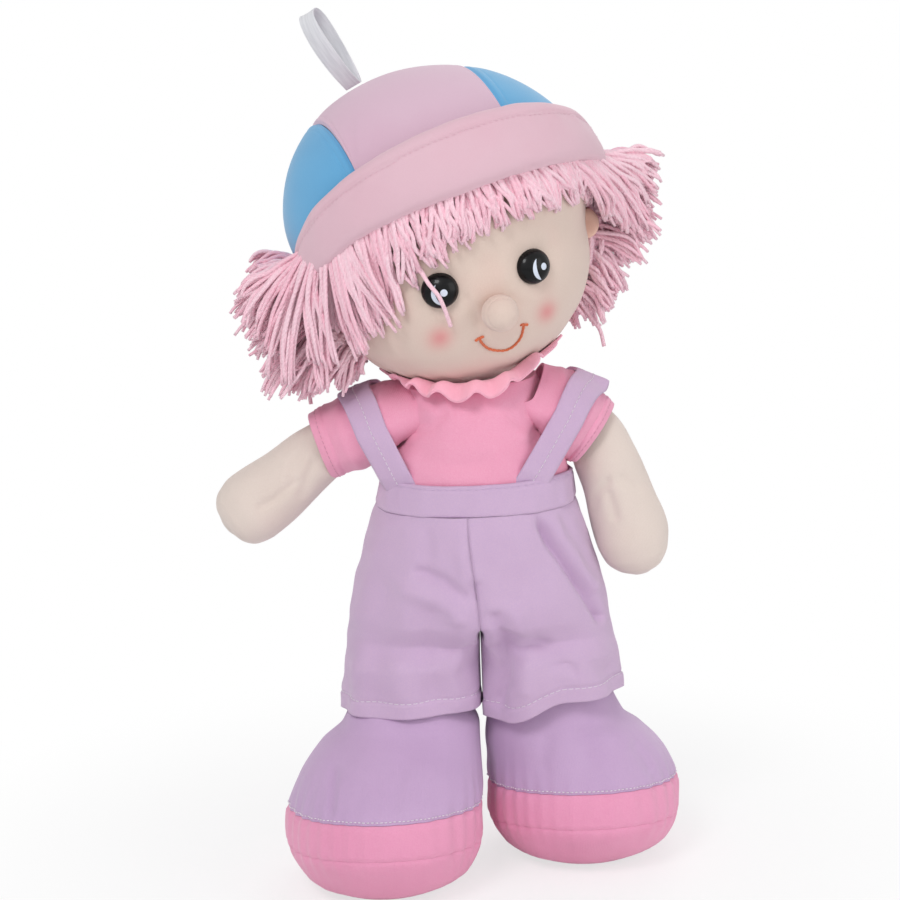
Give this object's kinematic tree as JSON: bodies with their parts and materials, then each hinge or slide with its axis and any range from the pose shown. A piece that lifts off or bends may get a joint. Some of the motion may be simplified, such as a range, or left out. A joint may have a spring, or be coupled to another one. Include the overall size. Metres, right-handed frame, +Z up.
{
  "type": "rag doll",
  "caption": "Soft stuffed rag doll with yarn hair, a padded cap with a ribbon loop, T-shirt, strap shorts and big padded shoes.",
  "frame": {"origin": "on the surface that the doll stands on, under the middle of its box", "axes": "+Z up, the doll faces -Y, and its own left hand is on the +X side"},
  "size_m": [0.2244, 0.1522, 0.4233],
  "materials": {
    "body_cloth": "brushed knit, matte",
    "face_cloth": "brushed knit, matte",
    "filling": "loose polyester fibre",
    "thread": "twisted thread",
    "shirt_cloth": "brushed knit, matte",
    "ruffle_cloth": "brushed knit, matte",
    "shorts_cloth": "brushed knit, matte",
    "shoe_lilac": "brushed knit, matte",
    "shoe_pink": "brushed knit, matte",
    "cap_blue": "brushed knit, matte",
    "cap_pink": "brushed knit, matte",
    "cap_brim": "brushed knit, matte",
    "hair_yarn": "plied yarn",
    "ribbon": "thin satin",
    "eye_plastic": "polished",
    "washer_plastic": "moulded"
  },
  "bodies": {
    "torso": {"torso_cover": "body_cloth", "torso_filling": "filling", "tshirt": "shirt_cloth", "sleeve_right": "shirt_cloth", "sleeve_left": "shirt_cloth", "collar_ruffle": "ruffle_cloth", "waistband": "shorts_cloth", "strap_right": "shorts_cloth", "strap_left": "shorts_cloth", "shorts_right": "shorts_cloth", "shorts_left": "shorts_cloth"},
    "neck": {"neck_stub": "body_cloth"},
    "neck_ring": {"neck_thread": "thread"},
    "head": {"head_cover": "face_cloth", "head_filling": "filling", "eye_right": "eye_plastic", "eye_left": "eye_plastic", "eye_washer_right": "washer_plastic", "eye_washer_left": "washer_plastic", "ear_right": "face_cloth", "ear_left": "face_cloth", "nose": "face_cloth", "hair_fringe": "hair_yarn", "hair_back": "hair_yarn", "hair_right": "hair_yarn", "hair_left": "hair_yarn", "crown_center": "cap_pink", "crown_left": "cap_blue", "crown_right": "cap_blue", "cap_brim": "cap_brim"},
    "loop": {"hang_loop": "ribbon"},
    "shoulder_right": {"shoulder_tab_right": "body_cloth"},
    "shoulder_left": {"shoulder_tab_left": "body_cloth"},
    "arm_right": {"arm_right_cover": "body_cloth", "arm_right_filling": "filling"},
    "arm_left": {"arm_left_cover": "body_cloth", "arm_left_filling": "filling"},
    "leg_right": {"leg_right_cover": "shoe_lilac", "leg_right_filling": "filling", "shoe_right_band": "shoe_pink", "shoe_right_sole": "shoe_pink"},
    "leg_left": {"leg_left_cover": "shoe_lilac", "leg_left_filling": "filling", "shoe_left_band": "shoe_pink", "shoe_left_sole": "shoe_pink"}
  },
  "joints": [
    {"name": "neck_tilt", "type": "hinge", "parent": "torso", "child": "neck", "pos_m": [0.01817, -0.0015, 0.24], "axis": [0, 1, 0], "range_deg": [-2, 12], "deforming": ["collar_ruffle"]},
    {"name": "neck_nod", "type": "hinge", "parent": "neck", "child": "neck_ring", "pos_m": [0.01817, -0.0015, 0.2512], "axis": [1, 0, 0], "range_deg": [-8, 8], "deforming": ["collar_ruffle"]},
    {"name": "neck_turn", "type": "hinge", "parent": "neck_ring", "child": "head", "pos_m": [0.01817, -0.0015, 0.2512], "axis": [-0.213, 0, 0.977], "range_deg": [-20, 20], "deforming": ["collar_ruffle"]},
    {"name": "loop_fold", "type": "hinge", "parent": "head", "child": "loop", "pos_m": [-0.03393, 0.00634, 0.38612], "axis": [0.7923, -0.4157, 0.4466], "range_deg": [-50, 50], "stiffness_Nm_per_rad": 0.001},
    {"name": "shoulder_lift_right", "type": "hinge", "parent": "torso", "child": "shoulder_right", "pos_m": [-0.03627, -0.0015, 0.23194], "axis": [0, 1, 0], "range_deg": [-25, 12], "deforming": ["sleeve_right", "strap_right"]},
    {"name": "arm_swing_right", "type": "hinge", "parent": "shoulder_right", "child": "arm_right", "pos_m": [-0.03627, -0.0015, 0.23194], "axis": [-0.6273, 0, 0.7787], "range_deg": [-35, 90], "deforming": ["sleeve_right", "strap_right"]},
    {"name": "shoulder_lift_left", "type": "hinge", "parent": "torso", "child": "shoulder_left", "pos_m": [0.06181, -0.0015, 0.23604], "axis": [0, -1, 0], "range_deg": [-2, 90], "deforming": ["sleeve_left", "strap_left"]},
    {"name": "arm_swing_left", "type": "hinge", "parent": "shoulder_left", "child": "arm_left", "pos_m": [0.06181, -0.0015, 0.23604], "axis": [-0.8684, 0, -0.4958], "range_deg": [-35, 90], "deforming": ["sleeve_left", "strap_left"]},
    {"name": "hip_right", "type": "hinge", "parent": "torso", "child": "leg_right", "pos_m": [-0.01523, -0.0015, 0.13], "axis": [-1, 0, 0], "range_deg": [-20, 90], "deforming": ["shorts_right"]},
    {"name": "hip_left", "type": "hinge", "parent": "torso", "child": "leg_left", "pos_m": [0.04077, -0.0015, 0.13], "axis": [-1, 0, 0], "range_deg": [-20, 90], "deforming": ["shorts_left"]}
  ]
}
